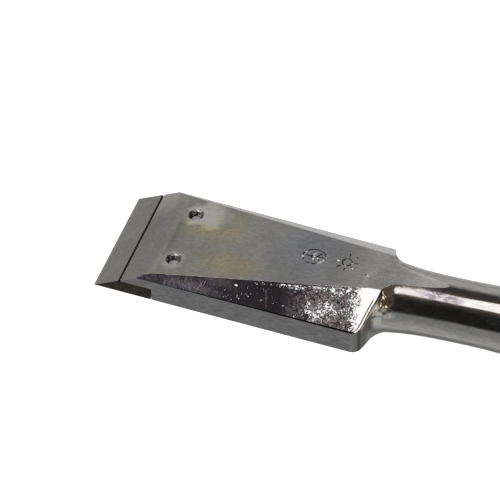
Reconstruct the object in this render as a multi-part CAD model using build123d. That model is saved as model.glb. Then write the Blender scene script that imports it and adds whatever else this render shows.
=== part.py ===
from build123d import *

import math
import os

# Skiving knife with a screwed-on blade: six separate pieces, in millimetres.
# The origin is the middle of the cutting edge, on the flat back of the knife.
# +X runs from the edge towards the handle, +Z is up through the bevelled face.

os.makedirs("parts", exist_ok=True)

# Head of the holder
EDGE_WIDTH = 30.0
HEAD_REAR_WIDTH = 29.2
BEVEL_ANGLE = 30.2
BEVEL_END_X = 12.85
HEAD_REAR_X = 68.5
SHOULDER_X = 66.0
REAR_CENTRE_X = 68.6
TOP_REAR_Z = 14.30
SIDE_HEIGHT_REAR = 6.5
TOP_HALF_WIDTH_FRONT = 13.55
TOP_HALF_WIDTH_REAR = 5.64
NEAR_CORNER_RADIUS = 2.5
FAR_CORNER_RADIUS = 1.2
SHOULDER_FILLET_RADIUS = 3.6
# Rounding of the brow, where the bevel turns over into the top face
BROW_RADIUS = 9.0
# Reach of the cutting tools, well clear of the head on every side
CLEAR = 60.0

# The top face eases into the neck and runs out on it at a point
TOP_EASE_START_X = 64.0
TOP_EASE_POINTS = [(69.0, 14.24), (74.0, 14.32), (80.0, 14.72), (87.0, 15.42)]
TOP_RUNOUT_X = 93.0
TOP_RUNOUT_Z = 16.2

# Cutting blade and the seat that takes it
BLADE_THICKNESS = 3.6
BLADE_BODY_LENGTH = 14.35
TONGUE_WIDTH = 25.0
TONGUE_END_X = 24.0
TONGUE_CORNER_RADIUS = 1.5
SEAT_GAP = 0.06
SHOULDER_GAP = 0.25
SEAM_START_X = 6.47
SEAM_WIDTH = 0.36
SEAM_DEPTH = 0.4

# M4 blade screws, entered from the flat back
SCREW_X = 17.7
SCREW_Y = 7.65
SCREW_TIP_Z = 6.3
SCREW_FACE_Z = 0.1
HEAD_RADIUS = 3.9
HEAD_RIM_HEIGHT = 0.25
SHANK_RADIUS = 1.95
SHANK_END_Z = 3.0
HEAD_PLAY = 0.06
SHANK_HOLE_RADIUS = 2.15
SOCKET_ACROSS_FLATS = 2.5
SOCKET_DEPTH = 1.4
TIP_CHAMFER = 0.25

# M4 coarse thread, with play on every flank
THREAD_PITCH = 0.7
THREAD_MAJOR_RADIUS = 2.0
THREAD_MINOR_RADIUS = 1.62
SCREW_CREST_RADIUS = 1.8
SCREW_CORE_RADIUS = 1.42
CREST_FLAT = THREAD_PITCH / 8
FLANK_SPREAD = 2 * math.tan(math.radians(30))
FLANK_PLAY = 0.231
THREAD_START_TURN = 4
SCREW_THREAD_START_TURN = 5
HOLE_MOUTH_RADIUS = 1.9

# Neck, bolster and tang: one body turned about an axis that rises towards the handle
AXIS_START_X = 60.0
AXIS_START_Z = 5.61
AXIS_RISE = 0.0763
# Each pair is a distance along the axis and the radius there
NECK_PROFILE = [
    (-8.0, 9.4), (6.0, 9.05), (10.0, 8.6), (14.0, 8.08), (22.0, 7.66), (30.0, 7.62), (38.0, 7.88),
]
BOLSTER_START = 45.0
BOLSTER_END = 50.0
BOLSTER_RADIUS = 9.0
BOLSTER_EDGE = 0.4
TANG_ROOT_WIDTH = 9.0
TANG_TIP_WIDTH = 4.4
TANG_LENGTH = 72.0

# Ferrule and handle on the same axis
FERRULE_LENGTH = 26.0
FERRULE_FRONT_RADIUS = 9.2
FERRULE_REAR_RADIUS = 11.2
FERRULE_WALL = 1.3
FERRULE_EDGE = 0.35
HANDLE_LENGTH = 128.0
HANDLE_FRONT_GAP = 0.5
# Distances from the front of the ferrule, with the radius at each
HANDLE_PROFILE = [(26.0, 11.2), (45.0, 12.2), (70.0, 13.0), (100.0, 13.2), (121.0, 12.8)]
HANDLE_END_EDGE = [(124.7, 11.6), (126.2, 9.2)]
TANG_HOLE_PLAY = 0.15

# Stamped marks on the top face: a veined leaf, a sun and a short dash
MARK_DEPTH = 0.2
MARK_LINE = 0.34
MARK_Y = 1.0
LEAF_X = 50.0
LEAF_LENGTH = 6.2
LEAF_BULGE = 2.5
LEAF_RIB_LENGTH = 5.0
LEAF_VEIN_LENGTH = 1.5
LEAF_VEIN_STEP = 1.5
LEAF_VEIN_ANGLE = 52.0
SUN_X = 58.3
SUN_RADIUS = 1.35
SUN_RAYS = 8
SUN_RAY_START = 1.85
SUN_RAY_END = 2.85
DASH_X = 64.2
DASH_Y = -2.1
DASH_LENGTH = 1.1
DASH_ANGLE = -30.0

BEVEL_SLOPE = math.tan(math.radians(BEVEL_ANGLE))
TOP_FRONT_Z = BEVEL_END_X * BEVEL_SLOPE
TOP_SLOPE = (TOP_REAR_Z - TOP_FRONT_Z) / (HEAD_REAR_X - BEVEL_END_X)
TOP_ANGLE = math.degrees(math.atan(TOP_SLOPE))
AXIS_ANGLE = math.degrees(math.atan(AXIS_RISE))


def top_height(x):
    """Height of the flat top face at a distance from the cutting edge."""
    return TOP_FRONT_Z + (x - BEVEL_END_X) * TOP_SLOPE


def side_profile(*edges):
    """A wall as wide as the knife whose side view is closed by the given edges."""
    return extrude(make_face(edges), amount=CLEAR, both=True)


def polygon_profile(*points):
    """A wall as wide as the knife whose side view is the given outline of (x, z) points."""
    outline = Polyline(*[(x, 0, z) for x, z in points], close=True)
    return side_profile(outline)


def on_axis(shape):
    """Move a shape made along +X onto the raised axis of the neck and handle."""
    return Pos(AXIS_START_X, 0, AXIS_START_Z) * Rot(0, -AXIS_ANGLE, 0) * shape


def turned(*edges):
    """A body turned about the raised axis from half-profile edges drawn in the XZ plane."""
    return on_axis(revolve(make_face(edges), axis=Axis.X))


def thread_ridge(turns, root_radius, crest_radius, root_width, crest_width):
    """A right-handed helical ridge standing out from root_radius, starting at z = 0."""
    path = Helix(THREAD_PITCH, THREAD_PITCH * turns, root_radius)
    section_plane = Plane(origin=path @ 0, x_dir=(1, 0, 0), z_dir=path % 0)
    sunk = 0.08
    depth = crest_radius - root_radius
    section = Polygon(
        (-sunk, -root_width / 2),
        (depth, -crest_width / 2),
        (depth, crest_width / 2),
        (-sunk, root_width / 2),
        align=None,
    )
    return sweep(section_plane * section, path, is_frenet=True)


def head_outline():
    """Plan of the head, from the cutting edge to the bowed rear shoulder."""
    front = EDGE_WIDTH / 2
    rear = HEAD_REAR_WIDTH / 2
    sides = Polyline((SHOULDER_X, -rear), (0, -front), (0, front), (SHOULDER_X, rear))
    shoulder = ThreePointArc((SHOULDER_X, rear), (REAR_CENTRE_X, 0), (SHOULDER_X, -rear))
    return make_face([sides, shoulder])


def neck_body():
    """The round neck and its bolster."""
    start, start_radius = NECK_PROFILE[0]
    rim_start = (BOLSTER_START, 0, BOLSTER_RADIUS - BOLSTER_EDGE)
    curve = Spline(*[(along, 0, radius) for along, radius in NECK_PROFILE], rim_start)
    rim = Polyline(
        rim_start,
        (BOLSTER_START + BOLSTER_EDGE, 0, BOLSTER_RADIUS),
        (BOLSTER_END - BOLSTER_EDGE, 0, BOLSTER_RADIUS),
        (BOLSTER_END, 0, BOLSTER_RADIUS - BOLSTER_EDGE),
        (BOLSTER_END, 0, 0),
        (start, 0, 0),
        (start, 0, start_radius),
    )
    return turned(curve, rim)


def tang(play=0.0):
    """The square tang that tapers into the handle, or the hole for it when given some play."""
    root = Plane.YZ.offset(BOLSTER_END) * Rectangle(TANG_ROOT_WIDTH + play, TANG_ROOT_WIDTH + play)
    tip_plane = Plane.YZ.offset(BOLSTER_END + TANG_LENGTH + play)
    tip = tip_plane * Rectangle(TANG_TIP_WIDTH + play, TANG_TIP_WIDTH + play)
    return on_axis(loft([root, tip]))


def space_above_top_face():
    """Everything above the top face, which eases down on to the neck and runs out there."""
    ease_start = (TOP_EASE_START_X, 0, top_height(TOP_EASE_START_X))
    ease_end = (TOP_RUNOUT_X, 0, TOP_RUNOUT_Z)
    ease = Spline(ease_start, *[(x, 0, z) for x, z in TOP_EASE_POINTS], ease_end)
    rest = Polyline(
        ease_end,
        (TOP_RUNOUT_X, 0, CLEAR),
        (-CLEAR, 0, CLEAR),
        (-CLEAR, 0, top_height(-CLEAR)),
        ease_start,
    )
    return side_profile(ease, rest)


def space_before_bevel():
    """Everything in front of and above the bevel that the head and blade share."""
    return polygon_profile(
        (-CLEAR, -CLEAR * BEVEL_SLOPE),
        (CLEAR, CLEAR * BEVEL_SLOPE),
        (-CLEAR, CLEAR * BEVEL_SLOPE),
    )


def space_over_brow():
    """The sliver that rounds the brow between the bevel and the top face."""
    turn = math.radians(BEVEL_ANGLE - TOP_ANGLE)
    tangent = BROW_RADIUS * math.tan(turn / 2)
    brow = Vector(BEVEL_END_X, 0, TOP_FRONT_Z)
    down_bevel = Vector(-math.cos(math.radians(BEVEL_ANGLE)), 0, -math.sin(math.radians(BEVEL_ANGLE)))
    along_top = Vector(math.cos(math.radians(TOP_ANGLE)), 0, math.sin(math.radians(TOP_ANGLE)))
    start = brow + down_bevel * tangent
    end = brow + along_top * tangent
    rounding = TangentArc(start, end, tangent=down_bevel * -1)
    above = brow + Vector(0, 0, tangent)
    return side_profile(rounding, Polyline(end, above, start))


def space_beside_top_face(side):
    """Everything outside the side bevel on one side of the head (side is -1 or +1)."""
    front = Vector(BEVEL_END_X, side * TOP_HALF_WIDTH_FRONT, TOP_FRONT_Z)
    rear = Vector(HEAD_REAR_X, side * TOP_HALF_WIDTH_REAR, TOP_REAR_Z)
    low = Vector(HEAD_REAR_X, side * HEAD_REAR_WIDTH / 2, SIDE_HEIGHT_REAR)
    normal = (rear - front).cross(low - rear) * side
    face = Plane(origin=rear, x_dir=rear - front, z_dir=normal)
    reach = 3 * HEAD_REAR_X
    block = Box(reach, reach, CLEAR, align=(Align.CENTER, Align.CENTER, Align.MIN))
    behind_shoulder = HEAD_REAR_X + SHOULDER_FILLET_RADIUS
    return face * block & Box(2 * behind_shoulder, reach, reach)


def blade_seat():
    """The rebate and pocket under the head that take the blade, and the seam groove before them."""
    nose_x = SEAM_START_X + SEAM_WIDTH
    rebate_length = BLADE_BODY_LENGTH + SHOULDER_GAP
    rebate = Pos(rebate_length / 2, 0, BLADE_THICKNESS / 2) * Box(rebate_length, CLEAR, BLADE_THICKNESS)
    nose_trim = Pos(nose_x / 2, 0, CLEAR / 2) * Box(nose_x, CLEAR, CLEAR)
    pocket_length = TONGUE_END_X + SEAT_GAP
    pocket_plan = Pos(pocket_length / 2, 0) * Rectangle(pocket_length, TONGUE_WIDTH + 2 * SEAT_GAP)
    rear_corners = pocket_plan.vertices().group_by(Axis.X)[-1]
    pocket_plan = fillet(rear_corners, TONGUE_CORNER_RADIUS)
    return rebate + nose_trim + extrude(pocket_plan, BLADE_THICKNESS)


def screw_hole(side):
    """One tapped hole through the head, with a slightly opened mouth in the top face."""
    turns = math.ceil(top_height(SCREW_X + THREAD_MAJOR_RADIUS) / THREAD_PITCH) - THREAD_START_TURN + 1
    drill = Cylinder(
        THREAD_MINOR_RADIUS,
        (turns + 1) * THREAD_PITCH,
        align=(Align.CENTER, Align.CENTER, Align.MIN),
    )
    root_width = CREST_FLAT + FLANK_SPREAD * (THREAD_MAJOR_RADIUS - THREAD_MINOR_RADIUS)
    ridge = thread_ridge(turns, THREAD_MINOR_RADIUS, THREAD_MAJOR_RADIUS, root_width, CREST_FLAT)
    bore = Pos(SCREW_X, side * SCREW_Y, THREAD_START_TURN * THREAD_PITCH) * (drill + ridge)
    mouth_plane = Plane(
        origin=(SCREW_X, side * SCREW_Y, top_height(SCREW_X)),
        x_dir=(1, 0, TOP_SLOPE),
        z_dir=(-TOP_SLOPE, 0, 1),
    )
    flare = HOLE_MOUTH_RADIUS - THREAD_MINOR_RADIUS
    mouth = mouth_plane * Pos(0, 0, -flare / 2) * Cone(THREAD_MINOR_RADIUS, HOLE_MOUTH_RADIUS, flare)
    return bore + mouth


def leaf_mark():
    """A leaf outline with a midrib and two pairs of side veins."""
    half = LEAF_LENGTH / 2
    upper = ThreePointArc((-half, 0), (0, LEAF_BULGE), (half, 0))
    lower = ThreePointArc((half, 0), (0, -LEAF_BULGE), (-half, 0))
    leaf = make_face([upper, lower])
    leaf = leaf - offset(leaf, -MARK_LINE) + Rectangle(LEAF_RIB_LENGTH, MARK_LINE)
    for x in (-LEAF_VEIN_STEP / 2, LEAF_VEIN_STEP / 2):
        for side in (-1, 1):
            vein = Pos(LEAF_VEIN_LENGTH / 2, 0) * Rectangle(LEAF_VEIN_LENGTH, MARK_LINE)
            leaf += Pos(x, 0) * Rot(0, 0, side * LEAF_VEIN_ANGLE) * vein
    return leaf


def sun_mark():
    """A small ring with straight rays around it."""
    sun = Circle(SUN_RADIUS) - Circle(SUN_RADIUS - MARK_LINE)
    ray = Pos((SUN_RAY_START + SUN_RAY_END) / 2, 0) * Rectangle(SUN_RAY_END - SUN_RAY_START, MARK_LINE)
    for number in range(SUN_RAYS):
        sun += Rot(0, 0, number * 360 / SUN_RAYS) * ray
    return sun


def stamped_marks():
    """Cutters for the marks stamped in the top face."""
    dash = Rot(0, 0, DASH_ANGLE) * SlotOverall(DASH_LENGTH, MARK_LINE)
    places = [
        (leaf_mark(), LEAF_X, MARK_Y),
        (sun_mark(), SUN_X, MARK_Y),
        (dash, DASH_X, DASH_Y),
    ]
    cutters = []
    for shape, x, y in places:
        plane = Plane(origin=(x, y, top_height(x)), x_dir=(1, 0, TOP_SLOPE), z_dir=(-TOP_SLOPE, 0, 1))
        cutters.append(plane * extrude(shape, MARK_DEPTH, both=True))
    return cutters


def blade_holder():
    """One forging: head, neck, bolster and tang."""
    block = Pos(0, 0, -CLEAR / 2) * extrude(head_outline(), CLEAR)
    for place, radius in ((0, NEAR_CORNER_RADIUS), (-1, FAR_CORNER_RADIUS)):
        upright = block.edges().filter_by(Axis.Z)
        rear = upright.filter_by(lambda edge: edge.center().X > SHOULDER_X / 2)
        block = fillet(rear.sort_by(Axis.Y)[place], radius)
    body = block + neck_body()
    curved = body.edges().filter_by(GeomType.BSPLINE)
    meeting = curved.filter_by(lambda edge: SHOULDER_X - 2 < edge.center().X < REAR_CENTRE_X + 2)
    body = fillet(meeting, SHOULDER_FILLET_RADIUS)
    body -= Pos(0, 0, -CLEAR / 2) * Box(6 * CLEAR, CLEAR, CLEAR)
    body -= space_above_top_face()
    body -= space_before_bevel()
    body -= space_over_brow()
    for side in (-1, 1):
        body -= space_beside_top_face(side)
    body -= blade_seat()
    for side in (-1, 1):
        body -= screw_hole(side)
    for cutter in stamped_marks():
        body -= cutter
    return body + tang()


def blade_plan():
    """Plan of the blade: full width at the edge, a narrower tongue behind."""
    half = EDGE_WIDTH / 2
    taper = (EDGE_WIDTH - HEAD_REAR_WIDTH) / 2 * BLADE_BODY_LENGTH / SHOULDER_X
    body = Polygon(
        (0, -half),
        (BLADE_BODY_LENGTH, taper - half),
        (BLADE_BODY_LENGTH, half - taper),
        (0, half),
        align=None,
    )
    tongue = Pos(TONGUE_END_X / 2, 0) * Rectangle(TONGUE_END_X, TONGUE_WIDTH)
    tongue = fillet(tongue.vertices().group_by(Axis.X)[-1], TONGUE_CORNER_RADIUS)
    return body + tongue


def screw_head():
    """The countersunk head and plain shank of a screw, below its thread."""
    cone_top = SCREW_FACE_Z + HEAD_RIM_HEIGHT + HEAD_RADIUS - SHANK_RADIUS
    outline = Polyline(
        (0, 0, SCREW_FACE_Z),
        (HEAD_RADIUS, 0, SCREW_FACE_Z),
        (HEAD_RADIUS, 0, SCREW_FACE_Z + HEAD_RIM_HEIGHT),
        (SHANK_RADIUS, 0, cone_top),
        (SHANK_RADIUS, 0, SHANK_END_Z),
        (0, 0, SHANK_END_Z),
        close=True,
    )
    return revolve(make_face(outline), axis=Axis.Z)


def screw_seat():
    """The countersunk clearance hole for one screw, just larger than its head and shank."""
    rim = HEAD_RADIUS + HEAD_PLAY
    cone_start = SCREW_FACE_Z + HEAD_RIM_HEIGHT
    below = -1.0
    outline = Polyline(
        (0, 0, below),
        (rim, 0, below),
        (rim, 0, cone_start),
        (SHANK_HOLE_RADIUS, 0, cone_start + rim - SHANK_HOLE_RADIUS),
        (SHANK_HOLE_RADIUS, 0, BLADE_THICKNESS - below),
        (0, 0, BLADE_THICKNESS - below),
        close=True,
    )
    return revolve(make_face(outline), axis=Axis.Z)


def cutting_blade():
    """The replaceable blade, with two countersunk holes through its tongue."""
    blade = extrude(blade_plan(), BLADE_THICKNESS)
    blade -= space_before_bevel()
    groove_top = BLADE_THICKNESS - SEAM_DEPTH / 2
    blade -= Pos(SEAM_START_X + SEAM_WIDTH / 2, 0, groove_top) * Box(SEAM_WIDTH, CLEAR, SEAM_DEPTH)
    for side in (-1, 1):
        blade -= Pos(SCREW_X, side * SCREW_Y, 0) * screw_seat()
    return blade


def blade_screw(side):
    """One M4 countersunk screw with a hexagon socket, its tip short of the top face."""
    core = Pos(0, 0, SHANK_END_Z) * Cylinder(
        SCREW_CORE_RADIUS,
        SCREW_TIP_Z - SHANK_END_Z,
        align=(Align.CENTER, Align.CENTER, Align.MIN),
    )
    core = chamfer(core.edges().group_by(Axis.Z)[-1], TIP_CHAMFER)
    external_root = CREST_FLAT + FLANK_SPREAD * (THREAD_MAJOR_RADIUS - SCREW_CORE_RADIUS) - FLANK_PLAY
    external_crest = CREST_FLAT + FLANK_SPREAD * (THREAD_MAJOR_RADIUS - SCREW_CREST_RADIUS) - FLANK_PLAY
    start_z = SCREW_THREAD_START_TURN * THREAD_PITCH
    turns = (SCREW_TIP_Z - external_root - start_z) / THREAD_PITCH
    ridge = Pos(0, 0, start_z) * thread_ridge(
        turns, SCREW_CORE_RADIUS, SCREW_CREST_RADIUS, external_root, external_crest
    )
    socket_face = Pos(0, 0, SCREW_FACE_Z)
    socket = extrude(RegularPolygon(SOCKET_ACROSS_FLATS / 2, 6, major_radius=False), SOCKET_DEPTH)
    screw = screw_head() + core + ridge - socket_face * socket
    return Pos(SCREW_X, side * SCREW_Y, 0) * screw


def ferrule():
    """The conical steel ring that closes the front of the handle."""
    front = BOLSTER_END
    rear = front + FERRULE_LENGTH
    outline = Polyline(
        (front, 0, FERRULE_FRONT_RADIUS - FERRULE_WALL),
        (front, 0, FERRULE_FRONT_RADIUS - FERRULE_EDGE),
        (front + FERRULE_EDGE, 0, FERRULE_FRONT_RADIUS),
        (rear - FERRULE_EDGE, 0, FERRULE_REAR_RADIUS),
        (rear, 0, FERRULE_REAR_RADIUS - FERRULE_EDGE),
        (rear, 0, FERRULE_REAR_RADIUS - FERRULE_WALL),
        close=True,
    )
    return turned(outline)


def handle():
    """The turned wooden handle: a cone inside the ferrule, a slim grip and a domed end."""
    front = BOLSTER_END + HANDLE_FRONT_GAP
    step = BOLSTER_END + FERRULE_LENGTH
    end = BOLSTER_END + HANDLE_LENGTH
    cone_slope = (FERRULE_REAR_RADIUS - FERRULE_FRONT_RADIUS) / FERRULE_LENGTH
    front_radius = FERRULE_FRONT_RADIUS - FERRULE_WALL + cone_slope * HANDLE_FRONT_GAP
    grip = [(BOLSTER_END + along, 0, radius) for along, radius in HANDLE_PROFILE]
    grip_curve = Spline(*grip)
    edge_middle, edge_end = [(BOLSTER_END + along, 0, radius) for along, radius in HANDLE_END_EDGE]
    end_edge = ThreePointArc(grip[-1], edge_middle, edge_end)
    rise = end - edge_end[0]
    dome_radius = (edge_end[2] ** 2 + rise**2) / (2 * rise)
    half_angle = math.asin(edge_end[2] / dome_radius) / 2
    dome_middle = (end - dome_radius * (1 - math.cos(half_angle)), 0, dome_radius * math.sin(half_angle))
    dome = ThreePointArc(edge_end, dome_middle, (end, 0, 0))
    rest = Polyline(
        (end, 0, 0),
        (front, 0, 0),
        (front, 0, front_radius),
        (step, 0, FERRULE_REAR_RADIUS - FERRULE_WALL),
        grip[0],
    )
    return turned(grip_curve, end_edge, dome, rest) - tang(TANG_HOLE_PLAY)


PIECES = {
    "blade_holder": blade_holder,
    "cutting_blade": cutting_blade,
    "blade_screw_near": lambda: blade_screw(-1),
    "blade_screw_far": lambda: blade_screw(1),
    "ferrule": ferrule,
    "handle": handle,
}

for name, make in PIECES.items():
    export_step(make(), f"parts/{name}.step")
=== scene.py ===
import math

import bpy
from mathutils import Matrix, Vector


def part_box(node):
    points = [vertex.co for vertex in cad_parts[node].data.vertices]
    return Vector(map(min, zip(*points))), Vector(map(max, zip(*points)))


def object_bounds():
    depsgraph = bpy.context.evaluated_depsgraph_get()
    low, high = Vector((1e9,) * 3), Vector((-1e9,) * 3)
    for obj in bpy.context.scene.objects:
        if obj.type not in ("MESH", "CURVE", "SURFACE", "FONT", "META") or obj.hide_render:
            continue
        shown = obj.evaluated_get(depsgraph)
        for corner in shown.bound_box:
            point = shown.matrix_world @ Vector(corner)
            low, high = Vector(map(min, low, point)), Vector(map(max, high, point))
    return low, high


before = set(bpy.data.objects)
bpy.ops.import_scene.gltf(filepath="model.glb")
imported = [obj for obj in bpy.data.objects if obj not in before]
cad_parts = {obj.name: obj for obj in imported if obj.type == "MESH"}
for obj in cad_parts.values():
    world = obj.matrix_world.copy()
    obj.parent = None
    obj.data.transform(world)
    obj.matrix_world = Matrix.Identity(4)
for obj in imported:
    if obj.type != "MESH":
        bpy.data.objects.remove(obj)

MM = 0.001
cad_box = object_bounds()

# Camera: the three-quarter view of the head from above
VIEW_AZIMUTH = 19.88
VIEW_ELEVATION = 47.23
VIEW_DISTANCE = 1.0
LENS = 302.4
AIM = Vector((33.77, 1.23, 8.03)) * MM

# The knife, in millimetres in the CAD frame: +X towards the handle, -Y the near side
EDGE_WIDTH = (cad_box[1].y - cad_box[0].y) / MM
BLADE_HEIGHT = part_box("cutting_blade")[1].z / MM
HEAD_REAR_X = 68.5
HEAD_REAR_WIDTH = 29.2
SHOULDER_X = 66.0
TOP_HALF_WIDTH_FRONT = 13.55
TOP_HALF_WIDTH_REAR = 5.64
TOP_FRONT = Vector((12.85, 0, 7.48))
TOP_SLOPE = 0.1226
TOP_RUNOUT_X = 95.0
SCREW_X = 17.7
SCREW_Y = 7.65
MARKS_START_X = 45.0
MARKS_END_X = 66.0
MARKS_HALF_WIDTH = 4.4
MARK_FLOOR = 0.25
SEAM_START_X = 6.4
SEAM_END_X = 6.9
TONGUE_END_X = 24.3
SIDE_FACE_Y = 13.0
# Plane of the side bevels: the two parts of its normal, and its distance from the origin
BEVEL_SIDEWAYS = 0.6566
BEVEL_UPWARDS = 0.7542
BEVEL_REACH = 14.549
# Rear edge of the side bevels: distance from the middle of the tool, and X there
BEVEL_REAR = [(7.1, 68.55), (9.3, 67.7), (13.0, 66.55), (13.8, 66.05), (14.4, 65.2)]
# How far the scuffed polish leans towards the handle; below zero it leans towards the edge
SCUFF_LEAN = -0.17

# How closely a face has to look along an axis to count as square to it
SQUARE = 0.99
# Slack in millimetres when a face is placed by its centre
NEARLY = 0.02
# How far sideways a face of the top may look: slivers on the head more than the flat on the neck
HEAD_LEVEL = 0.08
NECK_LEVEL = 0.02
# Reach of a tapped hole, with its thread and rim, from the middle of the screw
HOLE_REACH = 2.16


class Graph:
    """Short calls for building a shader node tree."""

    def __init__(self, owner):
        owner.use_nodes = True
        self.tree = owner.node_tree
        self.tree.nodes.clear()

    def add(self, kind, *inputs, **settings):
        """A node with its first inputs filled in order; a dict fills inputs by name."""
        node = self.tree.nodes.new("ShaderNode" + kind)
        for key, value in settings.items():
            setattr(node, key, value)
        for number, value in enumerate(inputs):
            named = value if isinstance(value, dict) else {number: value}
            for key, wanted in named.items():
                self.feed(node.inputs[key], wanted)
        return node

    def feed(self, socket, value):
        """Link a socket or node to an input, or store a number or colour in it."""
        if value is None:
            return
        if isinstance(value, bpy.types.Node):
            value = value.outputs[0]
        if isinstance(value, bpy.types.NodeSocket):
            self.tree.links.new(value, socket)
        elif hasattr(socket.default_value, "__len__") and not hasattr(value, "__len__"):
            socket.default_value = [value] * len(socket.default_value)
        elif hasattr(value, "__len__") and len(value) == 3 and len(socket.default_value) == 4:
            socket.default_value = [*value, 1.0]
        else:
            socket.default_value = value

    def math(self, operation, *inputs):
        """The number that a math node gives."""
        return self.add("Math", *inputs, operation=operation).outputs[0]

    def fold(self, operation, first, *others):
        """One operation applied along a row of values."""
        result = first
        for value in others:
            result = self.math(operation, result, value)
        return result

    def times(self, *values):
        return self.fold("MULTIPLY", *values)

    def plus(self, *values):
        return self.fold("ADD", *values)

    def minus(self, *values):
        return self.fold("SUBTRACT", *values)

    def largest(self, *values):
        return self.fold("MAXIMUM", *values)

    def size(self, value):
        """The value without its sign."""
        return self.math("ABSOLUTE", value)

    def rest_of(self, share):
        """What a share leaves of one."""
        return self.minus(1.0, share)

    def vector_math(self, operation, *inputs):
        """The vector that a vector math node gives, or its number where it measures."""
        node = self.add("VectorMath", operation=operation)
        for number, value in enumerate(inputs):
            by_name = operation == "SCALE" and number == 1
            self.feed(node.inputs["Scale" if by_name else number], value)
        gives_number = operation in ("DOT_PRODUCT", "LENGTH")
        return node.outputs["Value" if gives_number else "Vector"]

    def remap(self, value, low, high, to_low=0.0, to_high=1.0, smooth=True):
        """The value carried from low..high to to_low..to_high, held at both ends."""
        node = self.add("MapRange", value, low, high, to_low, to_high)
        node.interpolation_type = "SMOOTHSTEP" if smooth else "LINEAR"
        return node.outputs[0]

    def window(self, value, rise, fall):
        """1 between a rise and a fall, each given as where it is 0 and where it is 1."""
        return self.times(self.remap(value, *rise), self.remap(value, *fall))

    def curve(self, value, stops):
        """A number or colour looked up on straight stretches between (input, output) stops."""
        low, high = stops[0][0], stops[-1][0]
        share = self.remap(value, low, high, smooth=False)
        placed = [((at - low) / (high - low), out) for at, out in stops]
        return self.ramp(share, placed, "LINEAR")

    def ramp(self, value, stops, interpolation="EASE"):
        """A number or colour between (position, output) stops that run from 0 to 1."""
        node = self.add("ValToRGB", value)
        node.color_ramp.interpolation = interpolation
        elements = node.color_ramp.elements
        while len(elements) < len(stops):
            elements.new(0.5)
        for element, (position, colour) in zip(elements, stops):
            element.position = position
            element.color = [*colour, 1.0] if hasattr(colour, "__len__") else [colour] * 3 + [1.0]
        return node.outputs["Color"]

    def mix(self, share, first, second, blend="MIX"):
        """The first colour, blended with the second where the share is 1."""
        node = self.add("Mix", data_type="RGBA", blend_type=blend)
        self.feed(node.inputs[0], share)
        self.feed(node.inputs[6], first)
        self.feed(node.inputs[7], second)
        return node.outputs[2]

    def tint(self, colour, factor, share=1.0):
        """The colour multiplied by a factor, where the share is 1."""
        return self.mix(share, colour, factor, "MULTIPLY")

    def vary(self, colour, noise, darkest, lightest):
        """The colour made darker and lighter by a noise."""
        return self.tint(colour, self.remap(noise, 0.3, 0.7, darkest, lightest))

    def noise(self, point, scale, detail=3.0, roughness=0.5, distortion=0.0):
        return self.add("TexNoise", {
            "Vector": point, "Scale": scale, "Detail": detail, "Roughness": roughness,
            "Distortion": distortion,
        }).outputs["Fac"]

    def point_mm(self):
        """The surface point in the piece's own frame, in millimetres."""
        coordinates = self.add("TexCoord").outputs["Object"]
        return self.vector_math("SCALE", coordinates, 1 / MM)

    def parts(self, vector):
        """The X, Y and Z of a vector."""
        return self.add("SeparateXYZ", vector).outputs

    def stretched(self, point, x, y, z):
        """The point with each axis scaled, for grain that runs along one direction."""
        return self.vector_math("MULTIPLY", point, (x, y, z))

    def blot(self, point, centre, radii, softness=0.35, raggedness=0.25):
        """A soft-edged stain around an (x, y) centre, 1 inside and 0 outside, with an uneven rim."""
        offset = self.vector_math("SUBTRACT", point, (*centre, 0.0))
        scaled = self.stretched(offset, 1 / radii[0], 1 / radii[1], 0.0)
        distance = self.vector_math("LENGTH", scaled)
        waver = self.noise(point, 0.35, 4.0)
        wobble = self.remap(waver, 0.2, 0.8, -raggedness, raggedness, smooth=False)
        return self.remap(self.plus(distance, wobble), 1 + softness, 1 - softness)

    def bump(self, height, depth_mm, normal=None):
        """The normal over a relief whose height is given as a share of its depth."""
        return self.add(
            "Bump", {"Height": height, "Distance": depth_mm * MM, "Strength": 1.0, "Normal": normal}
        ).outputs[0]

    def rounded(self, radius_mm):
        """The surface normal with sharp edges shaded as if eased by a small radius."""
        return self.add("Bevel", self.times(radius_mm, MM), samples=6).outputs[0]

    def edge_share(self, eased):
        """How far the eased normal is from the true one: 1 on a worn edge, 0 on the open face."""
        true_normal = self.add("NewGeometry").outputs["True Normal"]
        return self.remap(self.vector_math("DOT_PRODUCT", eased, true_normal), 0.998, 0.96)

    def tilted(self, normal, towards_handle):
        """The normal leaned towards the handle by a small amount."""
        push = self.vector_math("SCALE", (1.0, 0.0, 0.0), towards_handle)
        return self.vector_math("NORMALIZE", self.vector_math("ADD", normal, push))

    def metal(self, colour, roughness, normal, film=0.0):
        """Bare metal under a film of dust or oxide that covers the given share of it."""
        self.finish(self.add("BsdfPrincipled", {
            "Base Color": colour, "Metallic": self.rest_of(film), "Roughness": roughness, "Normal": normal,
        }))

    def finish(self, shader):
        """Use a shader as the surface of the material."""
        output = self.tree.nodes.new("ShaderNodeOutputMaterial")
        self.tree.links.new(shader.outputs[0], output.inputs["Surface"])


def new_material(name):
    """A material, the graph of its nodes and the surface point in millimetres."""
    material = bpy.data.materials.new(name)
    graph = Graph(material)
    return material, graph, graph.point_mm()


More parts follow.
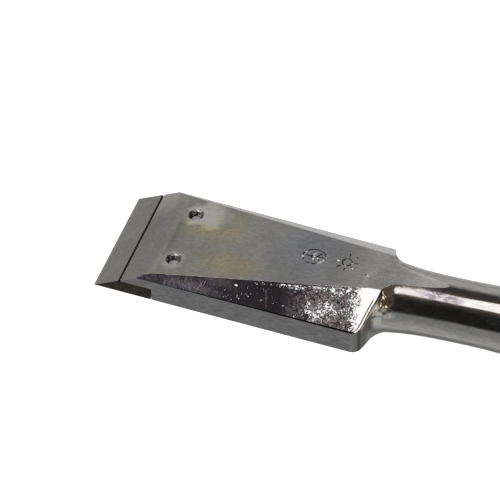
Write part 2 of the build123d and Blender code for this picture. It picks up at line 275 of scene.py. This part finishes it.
def top_stains(g, point, colour):
    """Heat and oil stains on the top face: straw yellow, one blue, one pale, and pale halos at the holes."""
    yellow = g.plus(
        g.times(0.85, g.blot(point, (22.6, 2.9), (6.3, 2.3), 0.7)),
        g.times(0.55, g.blot(point, (29.2, 6.0), (2.2, 4.0), 0.6)),
        g.blot(point, (32.0, -6.0), (6.5, 3.2), 0.7),
    )
    colour = g.tint(colour, (1.15, 1.05, 0.83), yellow)
    colour = g.tint(colour, (0.95, 0.97, 1.04), g.blot(point, (47.0, 2.5), (9.0, 5.0), 0.6))
    colour = g.tint(colour, (1.85, 1.82, 1.84), g.blot(point, (20.9, 8.3), (4.3, 3.9), 0.5, 0.4))
    for side in (-1, 1):
        halo = g.blot(point, (SCREW_X - 0.3, side * SCREW_Y - 0.3), (2.9, 2.9), 0.3, 0.12)
        colour = g.tint(colour, (1.42, 1.41, 1.41), g.times(0.9, halo))
    return colour


def satin_top():
    """The bevel, brow, top face and neck flat: ground satin, tarnished and handled."""
    material, g, point = new_material("holder_satin")
    x, y, _ = g.parts(point)
    colour = g.curve(x, [
        (0, (0.47, 0.462, 0.435)),
        (11, (0.47, 0.462, 0.43)),
        (15, (0.54, 0.535, 0.48)),
        (24, (0.575, 0.565, 0.495)),
        (34, (0.6, 0.59, 0.555)),
        (46, (0.535, 0.535, 0.55)),
        (56, (0.55, 0.55, 0.555)),
        (68, (0.68, 0.675, 0.66)),
        (78, (0.82, 0.81, 0.8)),
        (84, (0.8, 0.79, 0.78)),
        (93, (0.62, 0.615, 0.6)),
    ])
    fine = g.noise(g.stretched(point, 0.5, 7.0, 7.0), 1.0, 4.0, 0.6)
    cloud = g.noise(point, 0.16, 4.0, 0.55)
    grain = g.noise(g.stretched(point, 0.8, 2.0, 2.0), 1.0, 4.0, 0.7)
    colour = g.vary(colour, cloud, 0.93, 1.07)
    colour = g.vary(colour, grain, 0.86, 1.14)
    colour = top_stains(g, point, colour)
    brow_smudge = g.times(0.75, g.blot(point, (14.6, 0.5), (1.5, 10.0), 0.7))
    colour = g.tint(colour, (0.74, 0.75, 0.76), brow_smudge)
    # Painted light: the far front of the head is painted lighter, for the brighter light it catches there
    far_front_painted_light = g.times(g.remap(y, 4, 15), g.remap(x, 14, 10.5))
    colour = g.tint(colour, (1.75, 1.7, 1.68), far_front_painted_light)
    # The edges are a little worn on the head, and the far edge of the neck flat fades out
    wear = g.remap(g.noise(point, 0.8, 3.0), 0.3, 0.7, 0.08, 0.22)
    far_edge = g.times(2.4, g.remap(x, 68, 76), g.remap(y, -0.5, 1.5))
    eased = g.rounded(g.plus(g.times(wear, g.remap(x, SHOULDER_X, 63)), far_edge))
    rough = g.plus(
        g.curve(x, [(0, 0.36), (60, 0.34), (75, 0.26), (TOP_RUNOUT_X, 0.16)]),
        g.remap(fine, 0.3, 0.7, -0.04, 0.04),
    )
    rough = g.minus(rough, g.times(0.15, g.edge_share(eased)))
    film = g.curve(x, [(0, 0.0), (56, 0.0), (66, 0.15), (74, 0.26), (84, 0.34), (93, 0.16)])
    g.metal(colour, rough, g.bump(fine, 0.003, eased), film)
    return material


def scratch(g, point, middle, lean, half_length=1.5):
    """A single bright scratch through an (x, y) middle on a bevel, 1 on the line and 0 off it."""
    x, y, _ = g.parts(point)
    across = g.size(g.minus(g.plus(x, g.times(lean, y)), middle[0] + lean * middle[1]))
    along = g.size(g.minus(y, middle[1]))
    broken = g.remap(g.noise(point, 1.8, 2.0), 0.4, 0.55, 0.1, 0.4)
    return g.times(g.remap(across, 0.11, 0.05), g.remap(along, half_length + 0.2, half_length - 0.2), broken)


def bevel_scuffing(g, point, patches):
    """Where the polish of a side bevel is broken: all over at the rear, in chips and dashes before it."""
    x, y, _ = g.parts(point)
    drift = g.remap(patches, 0.3, 0.7, -0.12, 0.12, smooth=False)
    grains = g.plus(g.noise(point, 2.4, 3.0, 0.7), drift)
    threshold = g.curve(x, [
        (12, 0.86), (44, 0.8), (50, 0.7), (53, 0.6), (61, 0.54), (63.5, 0.47), (65, 0.3), (66, 0.0),
    ])
    upper_edge = g.curve(x, [(TOP_FRONT.x, TOP_HALF_WIDTH_FRONT), (HEAD_REAR_X, TOP_HALF_WIDTH_REAR)])
    below_edge = g.minus(g.size(y), upper_edge)
    ragged = g.times(
        g.window(below_edge, (0.25, 0.45), (1.5, 0.9)),
        g.curve(x, [(36, 0.0), (44, 0.8), (50, 0.8), (58, 0.2)]),
    )
    worn_through = g.blot(point, (55.0, -11.6), (4.6, 1.9), 0.5, 0.4)
    threshold = g.minus(threshold, g.plus(g.times(0.2, ragged), g.times(0.09, worn_through)))
    mottled = g.remap(g.minus(grains, threshold), -0.05, 0.12, smooth=False)
    chips = g.times(
        g.remap(g.plus(g.noise(point, 1.6, 3.0, 0.6), g.times(0.4, drift)), 0.675, 0.7),
        g.curve(x, [(20, 0.0), (32, 1.0), (60, 1.0)]),
    )
    dashes = g.times(
        g.window(below_edge, (0.25, 0.4), (0.75, 0.6)),
        g.remap(g.noise(point, 1.9, 3.0), 0.53, 0.58),
        g.curve(x, [(39, 0.0), (42, 1.0), (58, 1.0), (62, 0.0)]),
    )
    large_chip = g.times(0.8, g.blot(point, (34.9, -11.55), (0.5, 0.24), 0.3, 0.3))
    return g.largest(mottled, chips, dashes, large_chip)


def bevel_edge_painted_shade(g, point):
    """A painted dark line along the lower edge of a side bevel, wider towards the rear: painted shade for
    the dark reflection of the eased edge.
    """
    x, y, _ = g.parts(point)
    side = g.curve(x, [(0, EDGE_WIDTH / 2), (SHOULDER_X, HEAD_REAR_WIDTH / 2)])
    width = g.curve(x, [(18, -0.05), (24, 0.08), (40, 0.16), (66, 0.3)])
    return g.remap(g.minus(side, g.size(y), width), 0.1, 0.0)


def bevel_rear_painted_light(g, point):
    """Along the rear edge of the near bevel: a painted dark line, and outside it a painted highlight on the
    rolled rim, for the dark and bright reflections of the rounded edge.
    """
    x, y, _ = g.parts(point)
    inside = g.minus(g.curve(g.size(y), BEVEL_REAR), x)
    near_side = g.remap(y, -7.4, -8.2)
    line = g.times(near_side, g.window(inside, (0.3, 0.38), (0.74, 0.62)))
    rim = g.times(near_side, g.remap(inside, 0.38, 0.3))
    return line, rim


def polished_bevel():
    """The side bevels: buffed like a mirror, then pitted and scuffed towards the neck."""
    material, g, point = new_material("holder_mirror")
    x, y, z = g.parts(point)
    patches = g.noise(point, 0.33, 4.0, 0.6)
    scuffed = bevel_scuffing(g, point, patches)
    off_painted_edge_shade = g.rest_of(bevel_edge_painted_shade(g, point))

    # Fine leaning scratches, nicks, single scratches and greasy smears, most of them at the front
    front = g.curve(x, [(12, 1.0), (25, 0.9), (32, 0.4), (42, 0.15), (60, 0.1)])
    leaning = g.add("CombineXYZ", g.plus(x, g.times(0.8, y)), g.times(0.35, y), g.times(0.35, z))
    hatch = g.noise(leaning, 1.5, 6.0, 0.75, 0.8)
    scratched = g.times(front, g.remap(hatch, 0.46, 0.64))
    nicks = g.noise(g.stretched(point, 1.4, 0.35, 0.35), 1.9, 4.0, 0.7, 1.2)
    nicked = g.times(front, g.remap(nicks, 0.55, 0.6))
    single_scratches = g.largest(
        scratch(g, point, (42.7, -12.4), 0.36),
        scratch(g, point, (27.15, -13.0), -0.47, 0.8),
        scratch(g, point, (26.4, -13.2), -0.57, 0.9),
    )
    smears = g.plus(
        g.times(0.1, g.blot(point, (25.0, -13.8), (5.5, 0.8), 0.8, 0.5)),
        g.times(0.07, g.blot(point, (30.5, -11.9), (3.0, 0.8), 0.8, 0.3)),
    )

    # Rust bloom on the scuffed rear half
    bloom = g.times(
        g.remap(g.noise(point, 1.5, 4.0, 0.7), 0.38, 0.62),
        g.curve(x, [(46, 0.0), (53, 0.8), (58, 1.0), (63, 0.8), (66, 0.0)]),
    )
    film = g.plus(
        0.01,
        single_scratches,
        g.times(0.02, front),
        g.times(0.09, scratched),
        g.times(0.18, nicked),
        smears,
        g.times(0.36, bloom),
    )
    colour = g.mix(g.remap(patches, 0.35, 0.65), (0.6, 0.52, 0.56), (0.52, 0.5, 0.62))
    colour = g.mix(g.remap(y, -1, 1), colour, (0.63, 0.63, 0.61))
    colour = g.mix(g.times(0.8, bloom), colour, (0.7, 0.62, 0.62))
    colour = g.mix(scuffed, colour, (0.66, 0.655, 0.655))
    # Painted highlight on the rolled rear rim, and painted shade in the dark line inside it
    line, rim = bevel_rear_painted_light(g, point)
    colour = g.mix(rim, colour, (0.86, 0.81, 0.72))
    colour = g.mix(line, colour, (0.08, 0.065, 0.055))
    # Painted shade: the dark line along the lower edge of the bevel
    colour = g.mix(off_painted_edge_shade, (0.06, 0.055, 0.055), colour)
    rough = g.plus(0.06, g.times(0.12, scratched), g.times(0.04, scuffed))
    wear = g.curve(g.noise(point, 0.9, 4.0, 0.7), [(0.4, 0.05), (0.58, 0.1), (0.66, 0.35)])
    eased = g.rounded(g.times(wear, off_painted_edge_shade))
    normal = g.bump(hatch, 0.003, g.tilted(eased, g.times(SCUFF_LEAN, scuffed, off_painted_edge_shade)))
    g.metal(colour, rough, normal, g.times(film, off_painted_edge_shade))
    return material


def satin_side():
    """The side faces: fine grinding lines along the tool, and dark pits low at the rear."""
    material, g, point = new_material("holder_side")
    x, _, z = g.parts(point)
    lines = g.noise(g.stretched(point, 0.25, 5.0, 5.0), 1.4, 5.0, 0.6)
    cloud = g.noise(point, 0.3, 3.0)
    grain = g.noise(g.stretched(point, 0.6, 1.6, 1.6), 1.0, 5.0, 0.75)
    rusty = g.times(g.window(x, (53, 56), (63, 61)), g.window(z, (1.0, 1.8), (4.2, 3.2)))
    rust = g.noise(g.stretched(point, 0.6, 1.0, 1.0), 1.7, 3.0)
    pits = g.remap(g.plus(rust, g.times(0.14, rusty)), 0.7, 0.76)
    colour = g.mix(g.remap(cloud, 0.3, 0.7), (0.31, 0.31, 0.317), (0.345, 0.347, 0.355))
    colour = g.mix(g.times(0.8, pits), colour, (0.12, 0.11, 0.1))
    colour = g.vary(colour, grain, 0.8, 1.26)
    rough = g.remap(lines, 0.3, 0.7, 0.3, 0.4)
    g.metal(colour, rough, g.bump(g.minus(lines, pits), 0.005, g.rounded(0.2)))
    return material


def shoulder_edge_painted_light(g, point, smears, shoulder):
    """Beside the rear edge of a side bevel: a painted dark line at the top, and a painted highlight along a
    burr on the near side.
    """
    x, y, z = g.parts(point)
    beyond = g.minus(
        g.plus(g.times(BEVEL_SIDEWAYS, g.size(y)), g.times(BEVEL_UPWARDS, z)),
        BEVEL_REACH,
    )
    line = g.times(shoulder, g.remap(beyond, -0.55, -0.4), g.remap(z, 10.5, 12.0))
    burr_painted_highlight = g.times(
        shoulder,
        g.window(beyond, (-1.3, -1.05), (-0.5, -0.6)),
        g.remap(x, 66.3, 66.8),
        g.remap(y, 0, -2),
        g.remap(z, 12.0, 10.0),
        g.remap(smears, 0.3, 0.5, 0.55, 1.0),
    )
    return line, burr_painted_highlight


def polished_neck():
    """The turned neck and shoulder: mirror polish over a hand-worked, slightly wavy surface."""
    material, g, point = new_material("holder_polished")
    x, _, z = g.parts(point)
    waves = g.noise(g.stretched(point, 0.1, 0.3, 0.3), 1.0, 2.0)
    fine = g.noise(g.stretched(point, 0.6, 6.0, 6.0), 1.0, 4.0, 0.6)
    smears = g.noise(g.stretched(point, 0.5, 1.1, 1.1), 0.9, 5.0, 0.65)
    haze = g.remap(g.noise(point, 0.35, 4.0, 0.6), 0.45, 0.7)
    # A darker, rougher patch on the neck along the near edge of its flat
    dark_patch_by_flat = g.times(
        g.blot(point, (82.5, -2.6), (5.5, 1.9), 0.6, 0.4),
        g.remap(smears, 0.42, 0.56, 0.2, 1.0),
    )
    rubbed = g.times(g.window(x, (70, 73.5), (86, 74)), g.remap(smears, 0.35, 0.6, 0.4, 1.0))
    shoulder = g.remap(x, 73.5, 69.5)
    upper_half = g.remap(z, 7.6, 8.6)
    line, burr_painted_highlight = shoulder_edge_painted_light(g, point, smears, shoulder)
    stained = g.times(shoulder, g.remap(g.noise(point, 0.5, 4.0, 0.65), 0.42, 0.6), upper_half)

    colour = g.mix(haze, (0.64, 0.63, 0.62), (0.61, 0.605, 0.6))
    colour = g.vary(colour, smears, 0.86, 1.12)
    colour = g.mix(dark_patch_by_flat, colour, (0.24, 0.22, 0.27))
    colour = g.mix(g.times(0.75, stained), colour, (0.4, 0.33, 0.25))
    # Painted shade: a dark band on the neck next to the rear edge of the bevel, for the dark reflection on
    # the rounded edge
    colour = g.mix(g.times(0.9, g.remap(x, 67.6, 67.0)), colour, (0.2, 0.2, 0.17))
    # A dark brown patch on the near side of the shoulder
    dark_brown_patch = g.times(g.blot(point, (67.4, -10.6), (1.1, 1.8), 0.5), g.window(z, (3.4, 4.6), (8.8, 7.6)))
    colour = g.mix(g.times(0.7, dark_brown_patch), colour, (0.2, 0.16, 0.13))
    # Painted highlight along the burr, and painted shade in the dark line beside the rear edge of the bevel
    colour = g.mix(burr_painted_highlight, colour, (1.0, 0.93, 0.78))
    colour = g.mix(line, colour, (0.1, 0.09, 0.08))
    rough = g.plus(
        0.045,
        g.times(0.05, haze),
        g.remap(fine, 0.4, 0.7, 0.0, 0.03),
        g.times(0.16, dark_patch_by_flat),
        g.times(0.1, rubbed),
    )
    dents = g.times(shoulder, upper_half, g.noise(g.stretched(point, 0.7, 0.7, 0.35), 0.8, 1.0, 0.4))
    normal = g.bump(waves, 0.03, g.rounded(0.2))
    normal = g.bump(dents, 0.55, normal)
    normal = g.bump(fine, 0.001, normal)
    g.metal(colour, rough, normal, g.times(0.8, burr_painted_highlight))
    return material


def recess_shade_and_grime(name="recess_dark", colour=(0.06, 0.055, 0.05), roughness=0.35):
    """Grooves and gaps: painted shade for the shadow inside them, on steel darkened by old oil and dust."""
    material, g, point = new_material(name)
    crust = g.noise(point, 3.0, 4.0, 0.6)
    shade = g.mix(g.remap(crust, 0.35, 0.75), [c * 0.5 for c in colour], [c * 1.8 for c in colour])
    g.metal(shade, g.remap(crust, 0.3, 0.7, roughness, roughness + 0.2), g.bump(crust, 0.03))
    return material


def stamped_steel():
    """The stamped lines: dark in the bottom, with painted glints on burrs here and there."""
    material, g, point = new_material("stamped_steel")
    burr_glints_painted = g.remap(g.noise(point, 0.85, 3.0), 0.53, 0.59)
    # Painted glints on the burrs
    colour = g.mix(burr_glints_painted, (0.15, 0.145, 0.135), (1.0, 0.99, 0.95))
    normal = g.bump(g.noise(point, 3.0, 3.0), 0.05)
    g.metal(colour, g.remap(burr_glints_painted, 0, 1, 0.3, 0.5), normal, g.times(0.8, burr_glints_painted))
    return material


def thread_steel():
    """Tapped thread: dark flanks, painted dark for the shade in the hole and for old oil, with painted
    glints on some crests and on the far lip.
    """
    material, g, point = new_material("thread_steel")
    x, y, z = g.parts(point)
    crest_glints_painted = g.times(
        g.remap(g.noise(point, 2.2, 3.0), 0.48, 0.58),
        g.remap(x, SCREW_X + 1.0, SCREW_X),
    )
    from_middle = g.minus(y, g.times(SCREW_Y, g.math("SIGN", y)))
    towards_far_lip = g.minus(from_middle, g.times(0.4, g.minus(x, SCREW_X)))
    lip_glint_painted = g.times(g.remap(towards_far_lip, 1.3, 1.6), g.remap(z, TOP_FRONT.z - 0.4, TOP_FRONT.z))
    # Painted glints on the crests and the far lip, over painted dark flanks
    colour = g.mix(g.largest(crest_glints_painted, lip_glint_painted), (0.06, 0.058, 0.05), (0.9, 0.89, 0.86))
    g.metal(colour, 0.1, g.rounded(0.06), g.plus(g.times(0.12, crest_glints_painted), g.times(0.7, lip_glint_painted)))
    return material


def flat_back():
    """The flat back: lapped on a stone, with fine crossing scratches."""
    material, g, point = new_material("back_lapped")
    lines = g.largest(
        g.noise(g.stretched(point, 0.4, 6.0, 1.0), 1.3, 5.0, 0.65),
        g.noise(g.stretched(point, 5.0, 0.5, 1.0), 1.1, 5.0, 0.65),
    )
    cloud = g.noise(point, 0.12, 3.0)
    colour = g.mix(g.remap(cloud, 0.35, 0.7), (0.6, 0.6, 0.59), (0.52, 0.52, 0.52))
    g.metal(colour, g.remap(lines, 0.4, 0.75, 0.2, 0.36), g.bump(lines, 0.003, g.rounded(0.15)))
    return material


def blade_bevel():
    """The ground bevel of the blade: grinding lines square to the edge, honed bright at the edge."""
    material, g, point = new_material("blade_bevel")
    x, _, _ = g.parts(point)
    lines = g.noise(g.stretched(point, 0.5, 7.0, 0.5), 1.0, 5.0, 0.6)
    cloud = g.noise(point, 0.2, 3.0)
    grain = g.noise(g.stretched(point, 1.6, 1.0, 1.0), 1.0, 5.0, 0.7)
    honed = g.remap(x, 0.7, 0.5)
    colour = g.mix(g.remap(cloud, 0.3, 0.7), (0.53, 0.52, 0.495), (0.48, 0.472, 0.452))
    colour = g.vary(colour, grain, 0.9, 1.12)
    colour = g.mix(g.times(0.5, honed), colour, (0.75, 0.75, 0.75))
    rough = g.minus(g.remap(lines, 0.3, 0.7, 0.3, 0.4), g.times(0.14, honed))
    g.metal(colour, rough, g.bump(lines, 0.004, g.rounded(0.12)))
    return material


def blade_side():
    """The sides of the blade: left dark from hardening, with rough upright grinding marks."""
    material, g, point = new_material("blade_side")
    lines = g.noise(g.stretched(point, 4.0, 1.0, 0.8), 1.0, 4.0, 0.65)
    scale = g.noise(point, 0.7, 4.0, 0.6)
    colour = g.mix(g.remap(scale, 0.35, 0.7), (0.052, 0.045, 0.038), (0.1, 0.087, 0.075))
    g.metal(colour, g.remap(lines, 0.3, 0.7, 0.3, 0.5), g.bump(lines, 0.02, g.rounded(0.12)))
    return material


def screw_steel():
    """Plain bright screws with turning marks around their axis."""
    material, g, point = new_material("screw_bright")
    marks = g.noise(g.stretched(point, 1.0, 1.0, 6.0), 2.0, 4.0)
    colour = g.mix(g.remap(marks, 0.3, 0.7), (0.72, 0.71, 0.68), (0.82, 0.81, 0.78))
    g.metal(colour, g.remap(marks, 0.3, 0.7, 0.45, 0.6), g.bump(marks, 0.01, g.rounded(0.05)), 0.42)
    return material


def ferrule_steel():
    """The ferrule: bright turned steel with fine lines around it."""
    material, g, point = new_material("ferrule_turned")
    rings = g.noise(g.stretched(point, 5.0, 0.06, 0.06), 1.0, 4.0, 0.6)
    cloud = g.noise(point, 0.25, 3.0)
    colour = g.mix(g.remap(cloud, 0.3, 0.7), (0.62, 0.61, 0.59), (0.54, 0.53, 0.52))
    colour = g.vary(colour, rings, 0.86, 1.1)
    g.metal(colour, g.remap(rings, 0.3, 0.7, 0.17, 0.26), g.bump(rings, 0.0006, g.rounded(0.2)))
    return material


def handle_wood():
    """Oiled hardwood: long grain along the handle, fine pores, a little darker where it is held."""
    material, g, point = new_material("handle_wood")
    x, _, _ = g.parts(point)
    drift = g.add("TexNoise", {"Vector": point, "Scale": 0.03, "Detail": 2.0}).outputs["Color"]
    bent = g.vector_math("ADD", point, g.vector_math("SCALE", drift, 4.0))
    rings = g.add(
        "TexWave",
        {
            "Vector": g.stretched(bent, 0.02, 1.0, 0.35), "Scale": 0.26, "Distortion": 1.4, "Detail": 4.0,
            "Detail Scale": 0.8,
        },
        wave_type="BANDS",
        bands_direction="DIAGONAL",
    ).outputs["Fac"]
    fibres = g.noise(g.stretched(bent, 0.035, 1.1, 1.1), 1.0, 7.0, 0.7)
    pores = g.remap(g.noise(g.stretched(bent, 0.22, 4.5, 4.5), 1.0, 3.0, 0.55), 0.6, 0.72)
    grain = g.plus(g.times(0.22, rings), g.times(0.78, fibres))
    held = g.times(g.window(x, (135, 160), (225, 195)), g.remap(g.noise(point, 0.06, 3.0), 0.3, 0.7))
    colour = g.ramp(grain, [(0.3, (0.2, 0.09, 0.035)), (0.5, (0.38, 0.195, 0.08)), (0.7, (0.52, 0.3, 0.14))])
    colour = g.mix(g.times(0.7, pores), colour, (0.12, 0.055, 0.025))
    colour = g.mix(g.times(0.35, held), colour, (0.22, 0.11, 0.05))
    g.finish(g.add("BsdfPrincipled", {
        "Base Color": colour,
        "Roughness": g.plus(g.remap(fibres, 0.3, 0.7, 0.36, 0.46), g.times(0.2, pores)),
        "Coat Weight": 0.12,
        "Coat Roughness": 0.3,
        "Normal": g.bump(g.minus(g.times(0.4, fibres), pores), 0.04),
    }))
    return material


def assign_zones(node_name, materials, zone_of):
    """Give each face of a node the material of the zone that it lies in."""
    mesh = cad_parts[node_name].data
    mesh.materials.clear()
    zones = list(materials)
    for zone in zones:
        mesh.materials.append(materials[zone])
    for face in mesh.polygons:
        face.material_index = zones.index(zone_of(face.center / MM, face.normal))


def assign(node_name, material):
    """Give a whole node one material."""
    assign_zones(node_name, {"all": material}, lambda centre, normal: "all")


def is_flat_back(centre, normal):
    """Whether a face is part of the flat back that blade and holder share."""
    return normal.z < -SQUARE and centre.z < NEARLY / 2


def holder_zone(centre, normal):
    """Which finish a face of the blade holder has, from its place and direction."""
    below_top = TOP_FRONT.z + (centre.x - TOP_FRONT.x) * TOP_SLOPE - centre.z
    to_screw = math.hypot(centre.x - SCREW_X, abs(centre.y) - SCREW_Y)
    in_marks = MARKS_START_X < centre.x < MARKS_END_X and abs(centre.y) < MARKS_HALF_WIDTH
    under_head = centre.z <= BLADE_HEIGHT + NEARLY and centre.x < TONGUE_END_X
    sideways = abs(normal.y)
    level_limit = HEAD_LEVEL if centre.x < HEAD_REAR_X else NECK_LEVEL
    if is_flat_back(centre, normal):
        return "back"
    if under_head and (normal.z < -SQUARE or abs(normal.x) > SQUARE or abs(centre.y) < SIDE_FACE_Y):
        return "recess"
    if SEAM_START_X < centre.x < SEAM_END_X and normal.x < -SQUARE:
        return "recess"
    if to_screw < HOLE_REACH and below_top > 0.005 and centre.z > BLADE_HEIGHT:
        return "rim" if 0.5 < normal.z < 0.9 else "thread"
    if in_marks and NEARLY < below_top < MARK_FLOOR and (abs(normal.z) < 0.3 or normal.z > 0.98):
        return "stamped"
    if abs(sideways - BEVEL_SIDEWAYS) < 0.01 and normal.z > 0.7 and centre.x < HEAD_REAR_X:
        return "mirror"
    if sideways > 0.97 and centre.x < HEAD_REAR_X - 2 and abs(centre.y) > SIDE_FACE_Y:
        return "side"
    if normal.z > 0.8 and sideways < level_limit and centre.x < TOP_RUNOUT_X:
        return "satin"
    return "polished"


def blade_zone(centre, normal):
    """Which finish a face of the cutting blade has."""
    at_seam = SEAM_START_X - 0.1 < centre.x < SEAM_END_X + 0.1
    if is_flat_back(centre, normal):
        return "back"
    if at_seam and (abs(normal.x) > 0.9 or normal.z > 0.95):
        return "recess"
    if normal.x < -0.4 and normal.z > 0.8:
        return "bevel"
    if abs(normal.y) > 0.9 and abs(centre.y) > SIDE_FACE_Y + 1:
        return "side"
    return "recess"


def paint_pieces():
    """Give every piece its finishes."""
    recess = recess_shade_and_grime()
    back = flat_back()
    assign_zones("blade_holder", {
        "satin": satin_top(),
        "mirror": polished_bevel(),
        "side": satin_side(),
        "polished": polished_neck(),
        "back": back,
        "recess": recess,
        "stamped": stamped_steel(),
        "thread": thread_steel(),
        # The hole rims get the same painted shade, lighter
        "rim": recess_shade_and_grime("hole_rim", (0.22, 0.215, 0.2), 0.2),
    }, holder_zone)
    assign_zones("cutting_blade", {
        "bevel": blade_bevel(),
        "side": blade_side(),
        "back": back,
        "recess": recess,
    }, blade_zone)
    screw = screw_steel()
    assign("blade_screw_near", screw)
    assign("blade_screw_far", screw)
    assign("ferrule", ferrule_steel())
    assign("handle", handle_wood())


class Studio:
    """The light around the tool, as a colour for every direction.

    A direction is given by its share along the tool (-1 from the edge side, +1 from the handle side)
    and by its roll: the angle from straight up, growing towards the near side.
    """

    def __init__(self, world):
        self.g = Graph(world)
        self.along, y, z = self.g.parts(self.g.add("TexCoord").outputs["Generated"])
        self.roll = self.g.math("DEGREES", self.g.math("ARCTAN2", self.g.times(-1.0, y), z))
        self.light = None

    def room(self, stops):
        """The dark surroundings, as brightness or colour over the roll."""
        self.light = self.g.curve(self.roll, stops)

    def softbox(self, colour, along, roll, along_soft=0.03, roll_soft=3.0):
        """One softbox over a range of shares and a range of rolls, with soft rims."""
        g = self.g
        inside = g.times(
            g.remap(g.minus(self.along, along[0]), 0.0, along_soft),
            g.remap(g.minus(along[1], self.along), 0.0, along_soft),
            g.remap(g.minus(self.roll, roll[0]), 0.0, roll_soft),
            g.remap(g.minus(roll[1], self.roll), 0.0, roll_soft),
        )
        self.light = g.mix(inside, self.light, colour)

    def finish(self):
        """Show plain white to the camera and the studio to everything else."""
        g = self.g
        seen = g.add("LightPath").outputs["Is Camera Ray"]
        background = g.add("Background", g.mix(seen, self.light, (1.0, 1.0, 1.0)))
        output = g.tree.nodes.new("ShaderNodeOutputWorld")
        g.tree.links.new(background.outputs[0], output.inputs["Surface"])


def studio_world():
    """A dark room with softboxes over the tool, at its front, beside it and behind it."""
    world = bpy.data.worlds.new("studio")
    bpy.context.scene.world = world
    studio = Studio(world)
    black = (0.016, 0.0155, 0.015)
    studio.room([
        (-180, 0.18), (-160, 0.26), (-140, 0.42), (-122, 0.54), (-105, 0.46), (-92, 0.37), (-76, 0.3),
        (-65, 0.34), (-56, 0.33), (-50, 0.24), (-44, 0.14), (-37, 0.055),
        (-24, (0.055, 0.045, 0.04)), (0, (0.14, 0.1, 0.075)), (24, (0.12, 0.09, 0.075)),
        (32, (0.055, 0.045, 0.042)), (44, black), (86, black),
        (90, 0.1), (94, 0.23), (110, 0.26), (126, 0.32), (142, 0.41), (160, 0.45), (172, 0.3), (180, 0.18),
    ])
    overhead_start = studio.g.remap(studio.along, -0.36, -0.08, -13, 8, smooth=False)
    overhead_end = studio.g.remap(studio.along, -0.38, -0.08, 23, 28, smooth=False)
    studio.softbox((1.5, 1.45, 1.42), (-1.1, 0.16), (overhead_start, overhead_end), roll_soft=4.0)
    studio.softbox((0.72, 0.72, 0.7), (-0.62, -0.41), (-66, -18), along_soft=0.06, roll_soft=14.0)
    studio.softbox((0.46, 0.46, 0.45), (-0.37, 0.05), (-88, -48), along_soft=0.06, roll_soft=8.0)
    studio.softbox((1.55, 1.54, 1.53), (-0.95, -0.44), (16, 84))
    studio.softbox((0.12, 0.092, 0.066), (0.1, 1.1), (20, 96), along_soft=0.15, roll_soft=8.0)
    studio.softbox((1.9, 1.7, 1.5), (0.66, 1.1), (46, 66), along_soft=0.06, roll_soft=5.0)
    studio.softbox((2.4, 2.05, 1.6), (0.26, 0.54), (73, 88))
    studio.softbox((0.58, 0.57, 0.53), (-0.02, 1.1), (94, 160), along_soft=0.2, roll_soft=12.0)
    studio.finish()


def studio_key():
    """A broad soft light for the wood; the steel doesn't mirror it."""
    data = bpy.data.lights.new("key", "AREA")
    data.shape = "RECTANGLE"
    data.size = 1.2
    data.size_y = 0.8
    data.energy = 9.0
    key = bpy.data.objects.new("key", data)
    key.location = (-0.2, -0.6, 1.1)
    towards = Vector((0.12, 0.0, 0.0)) - key.location
    key.rotation_mode = "QUATERNION"
    key.rotation_quaternion = towards.to_track_quat("-Z", "Y")
    key.visible_glossy = False
    bpy.context.scene.collection.objects.link(key)


def studio_floor():
    """A pale floor just under the tool, bright enough to leave only a trace of shadow."""
    low = cad_box[0].z - 0.2 * MM
    half = 3.0
    mesh = bpy.data.meshes.new("floor")
    corners = [(-half, -half, low), (half, -half, low), (half, half, low), (-half, half, low)]
    mesh.from_pydata(corners, [], [(0, 1, 2, 3)])
    floor = bpy.data.objects.new("floor", mesh)
    bpy.context.scene.collection.objects.link(floor)
    material = bpy.data.materials.new("pale_floor")
    g = Graph(material)
    paint = g.add("BsdfDiffuse", (0.5, 0.5, 0.5))
    glow = g.add("Emission", (1.0, 1.0, 1.0), 0.96)
    lit = g.add("AddShader", paint, glow)
    from_below = g.add("NewGeometry").outputs["Backfacing"]
    g.finish(g.add("MixShader", from_below, lit, g.add("BsdfTransparent")))
    mesh.materials.append(material)
    floor.visible_glossy = False
    floor.visible_diffuse = False


def studio_camera():
    """The camera, on a sphere around the point that it looks at."""
    data = bpy.data.cameras.new("camera")
    data.lens = LENS
    data.sensor_width = 36.0
    data.clip_end = 10.0
    camera = bpy.data.objects.new("camera", data)
    azimuth = math.radians(VIEW_AZIMUTH)
    elevation = math.radians(VIEW_ELEVATION)
    back = Vector((
        math.sin(azimuth) * math.cos(elevation),
        -math.cos(azimuth) * math.cos(elevation),
        math.sin(elevation),
    ))
    camera.location = AIM + back * VIEW_DISTANCE
    camera.rotation_mode = "QUATERNION"
    camera.rotation_quaternion = (-back).to_track_quat("-Z", "Y")
    bpy.context.scene.collection.objects.link(camera)
    bpy.context.scene.camera = camera


paint_pieces()
studio_world()
studio_key()
studio_floor()
studio_camera()
bpy.context.scene.view_settings.view_transform = "Standard"
